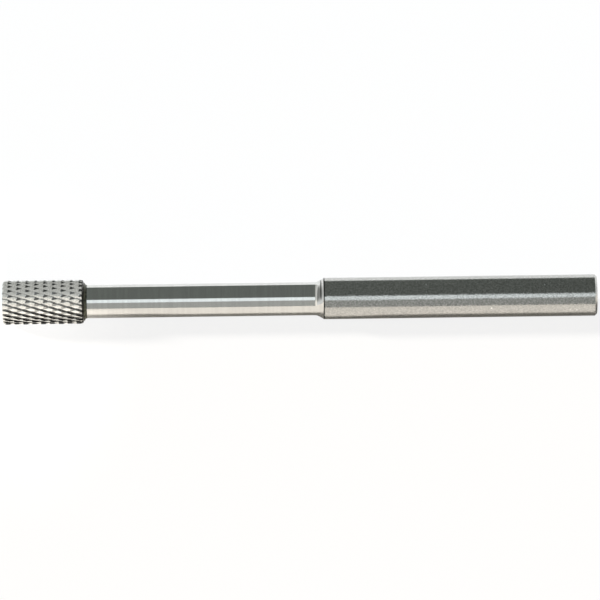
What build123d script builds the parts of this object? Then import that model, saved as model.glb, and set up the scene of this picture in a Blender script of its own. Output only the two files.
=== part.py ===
from build123d import *
from math import cos, degrees, radians, sin, tan
import os

# Carbide burr: a cylindrical, double-cut head of tungsten carbide, brazed to a stepped steel shank.
# The axis is X. The head points to -X, and X = 0 is where the plain shank begins.
# Lengths are in millimetres and angles in degrees. Angles turn by the right-hand rule about +X.

# Shank, turned from one bar
shank_diameter = 3.0
shank_length = 19.75
rear_chamfer = 0.15
neck_diameter = 2.4
neck_length = 16.75
shoulder_length = 0.5
shoulder_fillet = 0.3
edge_break = 0.07

# Brazed joint
braze_thickness = 0.05
braze_fillet = 0.17

# Cutting head
head_diameter = 3.2
head_length = 5.87
nose_chamfer = 0.13
back_taper_length = 0.13

# Teeth: a right-hand cut, crossed by a left-hand cut that only notches its edges.
# Both cuts have saw teeth with one relief slope, so their lands meet along rings around the head.
tooth_count = 23
cut_lead = 29.5
relief_slope = 25.0
rake_slope = 22.0
first_edge = 4.5
notch_depth = 0.1
notch_wall_slope = 38.0
first_notch = 0.1

shank_radius = shank_diameter / 2
neck_radius = neck_diameter / 2
head_radius = head_diameter / 2
braze_radius = neck_radius + braze_fillet
tooth_pitch = 360 / tooth_count
twist_rate = 360 / cut_lead

shoulder_front = -shoulder_length
neck_front = shoulder_front - neck_length
head_back = neck_front - braze_thickness
head_tip = head_back - head_length


def polar(radius, angle):
    return (radius * cos(radians(angle)), radius * sin(radians(angle)))


def tooth_height(wall_slope):
    """The height at which the relief behind one edge meets the steep wall of the next."""
    relief = tan(radians(relief_slope))
    return radians(tooth_pitch) * head_radius * relief / (1 + relief * tan(radians(wall_slope)))


def wall_turn(wall_slope):
    """The angle round the axis that a steep wall takes from its foot to its edge."""
    return degrees(tooth_height(wall_slope) * tan(radians(wall_slope)) / head_radius)


def saw_section(edge_radius, wall_slope, turned):
    """A ring of saw teeth. Going round, each rises steeply to its edge and falls gently behind it."""
    points = []
    for tooth in range(tooth_count):
        edge = turned + tooth * tooth_pitch
        foot = edge - wall_turn(wall_slope)
        points.append(polar(edge_radius - tooth_height(wall_slope), foot))
        points.append(polar(edge_radius, edge))
    return make_face(Polyline(*points, close=True)).face()


def twisted_bar(section, hand):
    """The section carried along the head on a helix: hand is 1 for right and -1 for left."""
    turn = hand * twist_rate * head_length
    return Solid.extrude_linear_with_rotation(section, (0, 0, 0), (0, 0, head_length), turn)


def right_hand_cut():
    return twisted_bar(saw_section(head_radius, rake_slope, first_edge), 1)


def left_hand_cut():
    """Its edges lie outside the head, and its gullets notch the right-hand edges."""
    edge_radius = head_radius - notch_depth + tooth_height(notch_wall_slope)
    # Both helices turn, so a gullet and an edge close on each other at twice the twist rate
    foot = first_edge + 2 * twist_rate * first_notch
    turned = foot + wall_turn(notch_wall_slope)
    return twisted_bar(saw_section(edge_radius, notch_wall_slope, turned), -1)


def head_envelope():
    """Nose chamfer and back taper. It stands clear of the teeth between them."""
    clear = head_radius + notch_depth
    nose_end = clear - head_radius + nose_chamfer
    taper_start = (clear - braze_radius) * back_taper_length / (head_radius - braze_radius)
    outline = Polyline(
        (0, 0),
        (head_radius - nose_chamfer, 0),
        (clear, nose_end),
        (clear, head_length - taper_start),
        (braze_radius, head_length),
        (0, head_length),
        close=True,
    )
    return revolve(Plane.XZ * make_face(outline), Axis.Z)


def make_cutting_head():
    head = right_hand_cut() & left_hand_cut() & head_envelope()
    return Location((head_tip, 0, 0), (0, 90, 0)) * head


def make_braze_joint():
    """A thin disc of braze between the end faces, with a concave fillet around the neck's root."""
    fillet_end = neck_front + braze_fillet
    disc = Polyline(
        (fillet_end, neck_radius),
        (neck_front, neck_radius),
        (neck_front, 0),
        (head_back, 0),
        (head_back, braze_radius),
        (neck_front, braze_radius),
    )
    fillet_arc = RadiusArc((neck_front, braze_radius), (fillet_end, neck_radius), braze_fillet)
    return revolve(make_face(disc + fillet_arc), Axis.X)


def make_shank():
    """Neck, conical shoulder and plain shank as one turned profile."""
    outline = Polyline(
        (neck_front, 0),
        (neck_front, neck_radius),
        (shoulder_front, neck_radius),
        (-edge_break, shank_radius - edge_break),
        (0, shank_radius),
        (shank_length - rear_chamfer, shank_radius),
        (shank_length, shank_radius - rear_chamfer),
        (shank_length, 0),
        close=True,
    )
    profile = make_face(outline)
    root = profile.vertices().sort_by_distance((shoulder_front, neck_radius))[0]
    return revolve(fillet(root, shoulder_fillet), Axis.X)


nodes = {
    "cutting_head": make_cutting_head(),
    "braze_joint": make_braze_joint(),
    "shank": make_shank(),
}

os.makedirs("parts", exist_ok=True)
for name, shape in nodes.items():
    shape.label = name
    export_step(shape, f"parts/{name}.step")
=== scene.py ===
import math

import bpy
import numpy as np
from mathutils import Matrix, Vector


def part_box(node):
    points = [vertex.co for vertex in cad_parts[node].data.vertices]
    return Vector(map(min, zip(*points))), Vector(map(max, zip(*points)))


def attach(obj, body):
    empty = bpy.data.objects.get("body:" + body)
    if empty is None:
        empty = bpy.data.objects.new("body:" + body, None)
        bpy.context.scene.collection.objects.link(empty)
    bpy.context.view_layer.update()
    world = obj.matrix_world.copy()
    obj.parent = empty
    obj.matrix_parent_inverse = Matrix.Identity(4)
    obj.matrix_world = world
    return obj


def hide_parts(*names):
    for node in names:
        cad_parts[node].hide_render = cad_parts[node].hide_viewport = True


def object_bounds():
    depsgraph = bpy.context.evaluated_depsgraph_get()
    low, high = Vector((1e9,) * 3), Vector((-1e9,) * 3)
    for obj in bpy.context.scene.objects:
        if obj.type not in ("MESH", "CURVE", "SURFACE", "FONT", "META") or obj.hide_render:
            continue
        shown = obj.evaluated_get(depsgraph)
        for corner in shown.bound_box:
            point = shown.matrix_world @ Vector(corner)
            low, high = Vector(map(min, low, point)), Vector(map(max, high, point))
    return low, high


# The looks of a double-cut carbide burr: three meshes that replace the frame's three solids, on a pale
# floor, in a small studio. The axis is X, and X = 0 is where the plain shank begins.

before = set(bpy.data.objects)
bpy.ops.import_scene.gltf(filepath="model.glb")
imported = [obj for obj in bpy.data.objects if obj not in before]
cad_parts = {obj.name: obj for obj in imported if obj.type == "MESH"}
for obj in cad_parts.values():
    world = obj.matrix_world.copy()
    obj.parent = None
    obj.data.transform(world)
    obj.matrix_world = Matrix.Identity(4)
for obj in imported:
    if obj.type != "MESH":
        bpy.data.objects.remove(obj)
cad_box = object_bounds()

MM = 0.001

# ---- Sizes of the tool, in millimetres. What can be read from the frame is read from it.
head_low, head_high = (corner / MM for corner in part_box("cutting_head"))
braze_low, braze_high = (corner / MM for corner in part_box("braze_joint"))
shank_low, shank_high = (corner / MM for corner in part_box("shank"))

HEAD_RADIUS = head_high.z
HEAD_TIP = head_low.x
HEAD_BACK = head_high.x
NOSE_CHAMFER = 0.13
BACK_TAPER = 0.13

# The relief's slope is measured from the head's surface, and the steep walls' slopes from its radius
TOOTH_COUNT = 23
CUT_LEAD = 29.5
RELIEF = math.tan(math.radians(20))
RAKE = math.tan(math.radians(22))
FIRST_EDGE = math.radians(4.5)
NOTCH_DEPTH = 0.085
NOTCH_WALL = math.tan(math.radians(38))
FIRST_NOTCH = 0.1
CROWN = 0.012
GULLET_BLEND = 0.06

BRAZE_RADIUS = braze_high.z
BRAZE_FRONT = braze_low.x
NECK_RADIUS = 1.2
NECK_FRONT = shank_low.x
SHANK_RADIUS = shank_high.z
SHANK_REAR = shank_high.x
SHOULDER_LENGTH = 0.5
SHOULDER_FILLET = 0.6
EDGE_BREAK = 0.07
REAR_CHAMFER = 0.15


def from_front(elevation):
    """The direction from the tool to something in front of it, with its elevation in radians."""
    return Vector((0, -math.cos(elevation), math.sin(elevation)))


# ---- Camera, placed by where the tool lies in a square picture
IMAGE_PX = 600
PX_PER_MM = 13.83
CENTRE_X_PX = 323.5
AXIS_Y_PX = 298.5
ROLL = math.radians(0.76)
ELEVATION = math.radians(52)
DISTANCE = 420
SENSOR = 36


def make_camera():
    """A long lens that looks down on the tool. X = 0 on its axis falls at CENTRE_X_PX, AXIS_Y_PX."""
    data = bpy.data.cameras.new("camera")
    data.sensor_width = SENSOR
    data.lens = SENSOR * DISTANCE * PX_PER_MM / IMAGE_PX
    data.clip_start = 0.01
    data.clip_end = 10
    camera = bpy.data.objects.new("camera", data)
    bpy.context.scene.collection.objects.link(camera)
    bpy.context.scene.camera = camera

    back = from_front(ELEVATION)
    level_right = Vector((1, 0, 0))
    level_up = back.cross(level_right)
    right = level_right * math.cos(ROLL) - level_up * math.sin(ROLL)
    up = level_up * math.cos(ROLL) + level_right * math.sin(ROLL)
    middle = IMAGE_PX / 2
    target = right * (middle - CENTRE_X_PX) / PX_PER_MM + up * (AXIS_Y_PX - middle) / PX_PER_MM
    place = (target + back * DISTANCE) * MM
    turn = Matrix((right, up, back)).transposed()
    camera.matrix_world = Matrix.Translation(place) @ turn.to_4x4()


# ---- Shader helpers. Each adds nodes to the tree and returns what comes out of them.
# Noise is stretched from one of these pairs of limits, and the narrow pair gives more contrast.
WIDE_NOISE = (0.3, 0.7)
NARROW_NOISE = (0.35, 0.65)


def position(tree, space):
    """The sockets X, Y and Z of the shaded point, or of the ray's direction in a world."""
    coords = tree.nodes.new("ShaderNodeTexCoord")
    split = tree.nodes.new("ShaderNodeSeparateXYZ")
    tree.links.new(coords.outputs[space], split.inputs["Vector"])
    return split.outputs


def noise(tree, scale, detail, stretch=(1, 1, 1)):
    """Noise in object space. The scale is in waves per metre, and stretch multiplies it along each axis."""
    coords = tree.nodes.new("ShaderNodeTexCoord")
    mapping = tree.nodes.new("ShaderNodeMapping")
    mapping.inputs["Scale"].default_value = stretch
    texture = tree.nodes.new("ShaderNodeTexNoise")
    texture.inputs["Scale"].default_value = scale
    texture.inputs["Detail"].default_value = detail
    tree.links.new(coords.outputs["Object"], mapping.inputs["Vector"])
    tree.links.new(mapping.outputs["Vector"], texture.inputs["Vector"])
    return texture.outputs["Fac"]


def remap(tree, value, limits, low, high):
    """Takes a value between the two limits to one between low and high, and clamps it there."""
    ranged = tree.nodes.new("ShaderNodeMapRange")
    ranged.inputs["From Min"].default_value, ranged.inputs["From Max"].default_value = limits
    ranged.inputs["To Min"].default_value = low
    ranged.inputs["To Max"].default_value = high
    tree.links.new(value, ranged.inputs["Value"])
    return ranged.outputs["Result"]


def fade(tree, value, limits):
    """0 at the first limit and 1 at the second. Either limit can be the lower one."""
    return remap(tree, value, limits, 0, 1)


def arithmetic(tree, operation, *values):
    node = tree.nodes.new("ShaderNodeMath")
    node.operation = operation
    for socket, value in zip(node.inputs, values):
        if isinstance(value, (int, float)):
            socket.default_value = value
        else:
            tree.links.new(value, socket)
    return node.outputs["Value"]


def product(tree, first, *others):
    result = first
    for other in others:
        result = arithmetic(tree, "MULTIPLY", result, other)
    return result


def blend_colours(tree, factor, first, second):
    mix = tree.nodes.new("ShaderNodeMix")
    mix.data_type = "RGBA"
    for socket, colour in (("A", first), ("B", second)):
        if isinstance(colour, tuple):
            mix.inputs[socket].default_value = (*colour, 1)
        else:
            tree.links.new(colour, mix.inputs[socket])
    tree.links.new(factor, mix.inputs["Factor"])
    return mix.outputs["Result"]


def mottle(tree, texture, first, second):
    """Two colours, in patches that follow the noise."""
    return blend_colours(tree, fade(tree, texture, NARROW_NOISE), first, second)


# ---- Materials. Places and depths are in metres.
def new_material(name, metallic):
    material = bpy.data.materials.new(name)
    material.use_nodes = True
    shader = material.node_tree.nodes["Principled BSDF"]
    shader.inputs["Metallic"].default_value = metallic
    return material, material.node_tree, shader


def dress(tree, shader, colour, roughness, relief, depth):
    """Gives the shader its colour and roughness, and bumps it by the relief, a noise as deep as depth."""
    bump = tree.nodes.new("ShaderNodeBump")
    bump.inputs["Distance"].default_value = depth
    tree.links.new(relief, bump.inputs["Height"])
    tree.links.new(bump.outputs["Normal"], shader.inputs["Normal"])
    tree.links.new(colour, shader.inputs["Base Color"])
    tree.links.new(roughness, shader.inputs["Roughness"])


CARBIDE_LIGHT = (0.93, 0.925, 0.90)
CARBIDE_DARK = (0.68, 0.675, 0.655)
# Painted shade: the black that darkens the head's rake faces, notches and back taper
CARBIDE_PAINTED_SHADE = (0.045, 0.042, 0.036)


def carbide_material():
    """Ground carbide: a grainy satin, blackened where the mesh marks painted shade on the rake faces,
    notches and back taper.
    """
    material, tree, shader = new_material("carbide", metallic=1.0)
    grain = noise(tree, scale=14000, detail=3.0)
    clean = mottle(tree, grain, CARBIDE_LIGHT, CARBIDE_DARK)
    # Painted shade, read from the head's mesh, blackens the clean colour
    painted_shade = tree.nodes.new("ShaderNodeAttribute")
    painted_shade.attribute_name = "painted_shade"
    colour = blend_colours(tree, painted_shade.outputs["Fac"], clean, CARBIDE_PAINTED_SHADE)
    roughness = remap(tree, grain, WIDE_NOISE, low=0.16, high=0.28)
    dress(tree, shader, colour, roughness, relief=grain, depth=3.5e-6)
    return material


# Braze tones: partly the braze's own dark oxide, partly painted shade where the head shadows the neck's
# root
BRAZE_DARK = (0.05, 0.053, 0.04)
BRAZE_LIGHT = (0.20, 0.20, 0.15)


def braze_material():
    """Dull braze with a lumpy skin and olive heat tint, kept very dark, partly as painted shade at the
    neck's root behind the head.
    """
    material, tree, shader = new_material("braze", metallic=1.0)
    lumps = noise(tree, scale=5000, detail=4.0)
    colour = mottle(tree, lumps, BRAZE_DARK, BRAZE_LIGHT)
    roughness = remap(tree, lumps, WIDE_NOISE, low=0.3, high=0.55)
    dress(tree, shader, colour, roughness, relief=lumps, depth=20e-6)
    return material


# Painted dark reflections on the steel: a patch on top of the shoulder's fillet, and a ring just behind its
# edge
STEEL_DARK_REFLECTION = (0.10, 0.10, 0.095)
POLISH_DARK = (0.73, 0.72, 0.70)
POLISH_LIGHT = (0.78, 0.775, 0.75)
DARK_REFLECTION_FRONT = (-0.24 * MM, -0.21 * MM)
DARK_REFLECTION_REAR = (-0.13 * MM, -0.16 * MM)
DARK_REFLECTION_HEIGHT = (1.0 * MM, 1.15 * MM)


def polished_steel():
    """The neck's polish, with faint rings left by the wheel and a painted dark reflection on top of the
    shoulder.
    """
    material, tree, shader = new_material("polished_steel", metallic=1.0)
    rings = noise(tree, scale=900, detail=4.0, stretch=(6, 0.5, 0.5))
    haze = noise(tree, scale=1500, detail=3.0)
    clean = mottle(tree, rings, POLISH_DARK, POLISH_LIGHT)
    place = position(tree, "Object")
    # Painted dark reflection: a patch on the top of the shoulder's fillet, none below
    dark_reflection = product(
        tree,
        fade(tree, place["X"], DARK_REFLECTION_FRONT),
        fade(tree, place["X"], DARK_REFLECTION_REAR),
        fade(tree, place["Z"], DARK_REFLECTION_HEIGHT),
    )
    colour = blend_colours(tree, dark_reflection, clean, STEEL_DARK_REFLECTION)
    roughness = remap(tree, haze, WIDE_NOISE, low=0.07, high=0.13)
    dress(tree, shader, colour, roughness, relief=rings, depth=0.8e-6)
    return material


GROUND_DARK = (0.48, 0.475, 0.455)
GROUND_LIGHT = (0.66, 0.65, 0.63)
NICK_COLOUR = (0.95, 0.95, 0.95)
NICK_NOISE = (0.845, 0.86)
REFLECTION_RING_REAR = (0.11 * MM, 0.08 * MM)


def ground_steel():
    """The plain shank's ground skin: fine pits that break up the highlight, and a few bright nicks.

    A narrow ring of painted dark reflection marks where the grinding starts, behind the shoulder.
    """
    material, tree, shader = new_material("ground_steel", metallic=1.0)
    pits = noise(tree, scale=9000, detail=3.0, stretch=(0.8, 1, 1))
    patches = noise(tree, scale=700, detail=3.0)
    nicks = noise(tree, scale=5200, detail=0.0, stretch=(1, 0.6, 0.6))
    skin = mottle(tree, pits, GROUND_DARK, GROUND_LIGHT)
    nicked = blend_colours(tree, fade(tree, nicks, NICK_NOISE), skin, NICK_COLOUR)
    # Painted dark reflection: a narrow ring just behind the shoulder's edge
    ring = fade(tree, position(tree, "Object")["X"], REFLECTION_RING_REAR)
    colour = blend_colours(tree, ring, nicked, STEEL_DARK_REFLECTION)
    roughness = remap(tree, patches, WIDE_NOISE, low=0.12, high=0.18)
    dress(tree, shader, colour, roughness, relief=pits, depth=6e-6)
    return material


# ---- Meshes, in millimetres
def add_piece(name, vertices, faces, materials, replaced):
    mesh = bpy.data.meshes.new(name)
    mesh.from_pydata((np.asarray(vertices) * MM).tolist(), [], faces)
    mesh.update()
    for material in materials:
        mesh.materials.append(material)
    piece = bpy.data.objects.new(name, mesh)
    bpy.context.scene.collection.objects.link(piece)
    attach(piece, "root")
    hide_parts(replaced)
    return piece


def shade(mesh, sharp_angle):
    """Smooth shading that keeps every edge sharper than the angle, in degrees."""
    mesh.polygons.foreach_set("use_smooth", [True] * len(mesh.polygons))
    mesh.set_sharp_from_angle(angle=math.radians(sharp_angle))


def tooth_height(wall):
    """Where the relief behind one edge meets the steep wall of the next."""
    pitch = 2 * math.pi * HEAD_RADIUS / TOOTH_COUNT
    return pitch * RELIEF / (1 + RELIEF * wall)


def wall_share(wall):
    """The part of the pitch that a steep wall takes."""
    return tooth_height(wall) * wall * TOOTH_COUNT / (2 * math.pi * HEAD_RADIUS)


def on_wall(phase, wall):
    """Whether a phase lies on the steep wall in front of an edge."""
    return phase % 1.0 > 1 - wall_share(wall)


def saw(phase, wall):
    """The fall of a saw tooth below its edge. The phase counts pitches, with an edge at each whole number.

    The relief is slightly crowned, and the gullet at its foot is rounded.
    """
    phase = phase % 1.0
    share = wall_share(wall)
    along = phase / (1 - share)
    relief = tooth_height(wall) * along - 4 * CROWN * along * (1 - along)
    rise = tooth_height(wall) * (1 - phase) / share
    overlap = np.maximum(GULLET_BLEND - np.abs(relief - rise), 0)
    return np.minimum(relief, rise) - overlap ** 2 / (4 * GULLET_BLEND)


STEPS_PER_TOOTH = 21
# Shares of painted shade on the head, where 1 is black: rake faces, notches and back taper
RAKE_PAINTED_SHADE = 0.95
NOTCH_PAINTED_SHADE = 0.55
TAPER_PAINTED_SHADE = 1.0


def head_skin():
    """A grid of points on the toothed side of the head, and the share of painted shade at each.

    The grid's columns follow the right-hand teeth, and its diagonals the left-hand ones.
    """
    pitch = 2 * math.pi / TOOTH_COUNT
    twist = 2 * math.pi / CUT_LEAD
    length = HEAD_BACK - HEAD_TIP
    rows = np.append(np.arange(0, length, pitch / (2 * twist * STEPS_PER_TOOTH)), length)
    columns = np.arange(TOOTH_COUNT * STEPS_PER_TOOTH) / STEPS_PER_TOOTH
    x, right_phase = np.meshgrid(rows, columns, indexing="ij")
    angle = FIRST_EDGE + right_phase * pitch + twist * x
    first_left_edge = FIRST_EDGE + 2 * twist * FIRST_NOTCH + wall_share(NOTCH_WALL) * pitch
    left_phase = (angle + twist * x - first_left_edge) / pitch

    right = HEAD_RADIUS - saw(right_phase, RAKE)
    left = HEAD_RADIUS - NOTCH_DEPTH + tooth_height(NOTCH_WALL) - saw(left_phase, NOTCH_WALL)
    nose = HEAD_RADIUS - NOSE_CHAMFER + x
    taper = BRAZE_RADIUS + (length - x) * (HEAD_RADIUS - BRAZE_RADIUS) / BACK_TAPER
    radius = np.minimum.reduce([right, left, nose, taper])
    points = np.stack([x + HEAD_TIP, radius * np.sin(angle), -radius * np.cos(angle)], axis=-1)

    # Painted shade on the rake faces, in the notches and on the back taper
    rake_face = on_wall(right_phase, RAKE) & (right < left)
    notch = (left < right) & ~on_wall(left_phase, NOTCH_WALL)
    painted_shade = np.where(rake_face, RAKE_PAINTED_SHADE, np.where(notch, NOTCH_PAINTED_SHADE, 0.0))
    painted_shade = np.where(x > length - BACK_TAPER, TAPER_PAINTED_SHADE, painted_shade)
    return points, painted_shade


FRONT_SHARE = 0.985


def make_head(material):
    """The double-cut head. A ring just inside the front face's rim keeps the painted shade off that face.
    """
    skin, painted_shade = head_skin()
    rows, around = painted_shade.shape
    front_ring = skin[0] * (1, FRONT_SHARE, FRONT_SHARE)
    centres = [(HEAD_TIP, 0, 0), (HEAD_BACK, 0, 0)]
    vertices = [*skin.reshape(-1, 3).tolist(), *front_ring.tolist(), *centres]

    last = (rows - 1) * around
    ring = rows * around
    front_centre = ring + around
    back_centre = front_centre + 1
    faces = []
    for row in range(0, last, around):
        for column in range(around):
            beside = (column + 1) % around
            faces.append((row + column, row + beside, row + around + column))
            faces.append((row + beside, row + around + beside, row + around + column))
    for column in range(around):
        beside = (column + 1) % around
        faces.append((column, ring + column, beside))
        faces.append((beside, ring + column, ring + beside))
        faces.append((front_centre, ring + beside, ring + column))
        faces.append((back_centre, last + column, last + beside))
    head = add_piece("burr_head", vertices, faces, [material], "cutting_head")

    # The painted shade goes into a point attribute that the carbide material reads
    shares = np.concatenate([painted_shade.reshape(-1), np.zeros(around + 1), (TAPER_PAINTED_SHADE,)])
    attribute = head.data.attributes.new("painted_shade", "FLOAT", "POINT")
    attribute.data.foreach_set("value", shares.astype(np.float32))
    shade(head.data, sharp_angle=16)


SEGMENTS = 256
ARC_STEPS = 12
QUARTER = math.pi / 2


def lathe(name, profile, materials, replaced):
    """Turns a profile of (x, radius) points about the axis. It starts and ends on the axis."""
    turns = [2 * math.pi * step / SEGMENTS for step in range(SEGMENTS)]
    vertices = [(profile[0][0], 0, 0)]
    for x, radius in profile[1:-1]:
        vertices += [(x, radius * math.sin(turn), -radius * math.cos(turn)) for turn in turns]
    end = len(vertices)
    vertices.append((profile[-1][0], 0, 0))

    last = end - SEGMENTS
    faces = []
    for step in range(SEGMENTS):
        beside = (step + 1) % SEGMENTS
        faces.append((0, 1 + beside, 1 + step))
        for low in range(1, last, SEGMENTS):
            high = low + SEGMENTS
            faces.append((low + step, low + beside, high + beside, high + step))
        faces.append((last + step, last + beside, end))
    return add_piece(name, vertices, faces, materials, replaced)


def arc(centre, radius, start, stop):
    """Points on an arc in the profile's plane, with angles in radians."""
    turns = (start + (stop - start) * step / ARC_STEPS for step in range(ARC_STEPS + 1))
    return [(centre[0] + radius * math.cos(turn), centre[1] + radius * math.sin(turn)) for turn in turns]


def shank_profile():
    """Neck, fillet, cone, edge break, plain shank and rear chamfer."""
    cone_end = (-EDGE_BREAK, SHANK_RADIUS - EDGE_BREAK)
    slope = math.atan2(cone_end[1] - NECK_RADIUS, cone_end[0] + SHOULDER_LENGTH)
    reach = SHOULDER_FILLET * math.tan(slope / 2)
    centre = (-SHOULDER_LENGTH - reach, NECK_RADIUS + SHOULDER_FILLET)
    return [
        (NECK_FRONT, 0),
        (NECK_FRONT, NECK_RADIUS),
        *arc(centre, SHOULDER_FILLET, -QUARTER, slope - QUARTER),
        cone_end,
        (0, SHANK_RADIUS),
        (SHANK_REAR - REAR_CHAMFER, SHANK_RADIUS),
        (SHANK_REAR, SHANK_RADIUS - REAR_CHAMFER),
        (SHANK_REAR, 0),
    ]


def make_shank(polished, ground):
    """The shank, polished up to X = 0 and ground behind it."""
    shank = lathe("shank_body", shank_profile(), [polished, ground], "shank")
    for polygon in shank.data.polygons:
        polygon.material_index = int(polygon.center.x > 0)
    shade(shank.data, sharp_angle=24)


def make_braze(material):
    """The disc and the hollow fillet around the neck's root."""
    fillet = BRAZE_RADIUS - NECK_RADIUS
    centre = (NECK_FRONT + fillet, NECK_RADIUS + fillet)
    profile = [
        (BRAZE_FRONT, 0),
        (BRAZE_FRONT, BRAZE_RADIUS),
        *arc(centre, fillet, 2 * QUARTER, 3 * QUARTER),
        (NECK_FRONT, NECK_RADIUS),
        (NECK_FRONT, 0),
    ]
    braze = lathe("braze_ring", profile, [material], "braze_joint")
    shade(braze.data, sharp_angle=40)


# ---- Floor. Lengths are in metres from here on.
FLOOR_SIZE = 1.0
WHITE_SHARE = 0.85
FRONT_COLOUR = (0.90, 0.855, 0.785)
BACK_COLOUR = (0.86, 0.88, 0.88)
COLOUR_CHANGE = (-0.002, 0.002)


def floor_material():
    """A pale floor, cream in front of the tool and neutral behind it.

    To the camera it is mostly plain white, which keeps the shadow but lightens it.
    """
    material, tree, shader = new_material("floor", metallic=0.0)
    side = fade(tree, position(tree, "Object")["Y"], COLOUR_CHANGE)
    tree.links.new(blend_colours(tree, side, FRONT_COLOUR, BACK_COLOUR), shader.inputs["Base Color"])
    shader.inputs["Roughness"].default_value = 1.0
    shader.inputs["Specular IOR Level"].default_value = 0.0
    path = tree.nodes.new("ShaderNodeLightPath")
    white = tree.nodes.new("ShaderNodeEmission")
    mix = tree.nodes.new("ShaderNodeMixShader")
    tree.links.new(product(tree, path.outputs["Is Camera Ray"], WHITE_SHARE), mix.inputs["Fac"])
    tree.links.new(shader.outputs["BSDF"], mix.inputs[1])
    tree.links.new(white.outputs["Emission"], mix.inputs[2])
    tree.links.new(mix.outputs["Shader"], tree.nodes["Material Output"].inputs["Surface"])
    return material


def make_floor():
    """A square sheet at the height of the tool's lowest point."""
    level = cad_box[0].z
    corners = [(-1, -1), (1, -1), (1, 1), (-1, 1)]
    mesh = bpy.data.meshes.new("floor")
    mesh.from_pydata([(x * FLOOR_SIZE, y * FLOOR_SIZE, level) for x, y in corners], [], [(0, 1, 2, 3)])
    mesh.materials.append(floor_material())
    floor = bpy.data.objects.new("floor", mesh)
    bpy.context.scene.collection.objects.link(floor)


# ---- Lamps
KEY = {
    "elevation": 52,
    "distance": 0.5,
    "side": 0,
    "width": 0.16,
    "height": 0.19,
    "level": 0.96,
    "colour": (0.91, 0.98, 1.02),
}
LOW_FRONT = {
    "elevation": 21,
    "distance": 0.6,
    "side": 0.02,
    "width": 0.21,
    "height": 0.44,
    "level": 0.27,
    "colour": (1.0, 1.0, 0.98),
}


def add_lamp(name, kind, direction, place=(0, 0, 0)):
    """A lamp at the place, which shines against the direction."""
    lamp = bpy.data.objects.new(name, bpy.data.lights.new(name, kind))
    bpy.context.scene.collection.objects.link(lamp)
    lamp.location = place
    lamp.rotation_mode = "QUATERNION"
    lamp.rotation_quaternion = direction.to_track_quat("Z", "Y")
    return lamp


def softbox(name, elevation, distance, side, width, height, level, colour):
    """A panel in front of the tool, with its elevation in degrees. A level of 1 looks white in a mirror."""
    direction = from_front(math.radians(elevation))
    lamp = add_lamp(name, "AREA", direction, direction * distance + Vector((side, 0, 0)))
    lamp.data.shape = "RECTANGLE"
    lamp.data.size = width
    lamp.data.size_y = height
    lamp.data.energy = level * math.pi * width * height
    lamp.data.color = colour


SUN_LEVEL = 6.8
SUN_DIRECTION = Vector((-0.9, 0.19, 0.40))
SUN_SPREAD = math.radians(8)


def side_light():
    """Light from the left and slightly behind.

    The shadow that it throws in front of the tool is the dark line along the steel's lower edge.
    """
    lamp = add_lamp("side_light", "SUN", SUN_DIRECTION)
    lamp.data.energy = SUN_LEVEL
    lamp.data.angle = SUN_SPREAD
    lamp.visible_glossy = False


BEAM_LEVEL = 4.5
BEAM_DISTANCE = 0.3
BEAM_ELEVATION = math.radians(30)
BEAM_SPREAD = math.radians(2)
BEAM_BLEND = 0.5
BEAM_SOURCE = 0.004
BEAM_SHIFT = 0.8 * MM
BEAM_AHEAD = 1.9


def head_beam():
    """A narrow beam from the front that keeps the floor before the head bright, inside the tool's shadow.

    It points at the floor BEAM_AHEAD head radii before the axis, and BEAM_SHIFT left of the head's middle.
    """
    radius = HEAD_RADIUS * MM
    middle = (HEAD_TIP + HEAD_BACK) / 2 * MM
    target = Vector((middle - BEAM_SHIFT, -BEAM_AHEAD * radius, -radius))
    direction = from_front(BEAM_ELEVATION)
    lamp = add_lamp("head_beam", "SPOT", direction, target + direction * BEAM_DISTANCE)
    lamp.data.energy = BEAM_LEVEL
    lamp.data.spot_size = BEAM_SPREAD
    lamp.data.spot_blend = BEAM_BLEND
    lamp.data.shadow_soft_size = BEAM_SOURCE
    lamp.visible_glossy = False


# ---- World. Places in it are parts of the unit vector that points there from the tool.
AMBIENT = (0.22, 0.22, 0.22)

# The walls around the tool, from the left to the right
WALLS = (
    (-0.80, (1.30, 1.33, 1.33)),
    (-0.34, (0.55, 0.56, 0.54)),
    (-0.19, (0.52, 0.53, 0.51)),
    (-0.09, (0.14, 0.155, 0.145)),
    (0.04, (0.14, 0.155, 0.145)),
    (0.16, (0.025, 0.027, 0.025)),
)

# What stands before them. Each pair goes from where a thing is gone to where it is all there.
BACKDROP_COLOUR = (1.08, 1.12, 1.12)
BACKDROP_TOP = (0.22, 0.19)
BACKDROP_BEHIND = (0, 0.1)

CARD_COLOUR = (1.10, 1.075, 1.00)
CARD_LEFT = (-0.13, -0.17)
CARD_TOP = (0.70, 0.45)
CARD_AHEAD = (0, -0.1)

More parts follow.
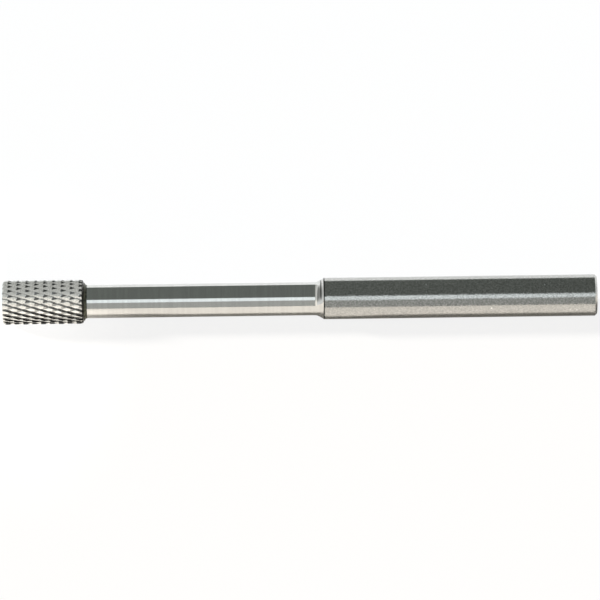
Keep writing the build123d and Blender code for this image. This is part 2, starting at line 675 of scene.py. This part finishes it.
END_WALL = (0.80, 0.82, 0.82)
END_CEILING = (0.24, 0.25, 0.24)
END_REACH = (0.48, 0.60)
END_TOP = (0.16, 0.50)


def walls(tree, across):
    """The walls' colour, by how far to the right the ray points."""
    ramp = tree.nodes.new("ShaderNodeValToRGB")
    tree.links.new(fade(tree, across, (-1, 1)), ramp.inputs["Fac"])
    elements = ramp.color_ramp.elements
    while len(elements) < len(WALLS):
        elements.new(0.5)
    for element, (place, colour) in zip(elements, WALLS):
        element.position = (place + 1) / 2
        element.color = (*colour, 1)
    return ramp.outputs["Color"]


def make_world():
    """The studio that the metal reflects. The floor gets only a dim, even light from it.

    The walls are light to the left of the tool, dim over it and dark to its right. A low white backdrop
    stands behind, and a cream card on the left in front. Both far ends of the room are light walls that
    darken towards the ceiling.
    """
    world = bpy.data.worlds.new("studio")
    bpy.context.scene.world = world
    world.use_nodes = True
    tree = world.node_tree
    toward = position(tree, "Generated")
    seen = walls(tree, toward["X"])

    behind = fade(tree, toward["Y"], BACKDROP_BEHIND)
    backdrop = product(tree, fade(tree, toward["Z"], BACKDROP_TOP), behind)
    seen = blend_colours(tree, backdrop, seen, BACKDROP_COLOUR)

    ahead = fade(tree, toward["Y"], CARD_AHEAD)
    card = product(tree, fade(tree, toward["X"], CARD_LEFT), fade(tree, toward["Z"], CARD_TOP), ahead)
    seen = blend_colours(tree, card, seen, CARD_COLOUR)

    end = blend_colours(tree, fade(tree, toward["Z"], END_TOP), END_WALL, END_CEILING)
    reach = fade(tree, arithmetic(tree, "ABSOLUTE", toward["X"]), END_REACH)
    seen = blend_colours(tree, reach, seen, end)

    path = tree.nodes.new("ShaderNodeLightPath")
    colour = blend_colours(tree, path.outputs["Is Glossy Ray"], AMBIENT, seen)
    tree.links.new(colour, tree.nodes["Background"].inputs["Color"])


make_camera()
make_head(carbide_material())
make_braze(braze_material())
make_shank(polished_steel(), ground_steel())
make_floor()
softbox("key", **KEY)
softbox("low_front", **LOW_FRONT)
side_light()
head_beam()
make_world()
bpy.context.scene.view_settings.view_transform = "Standard"
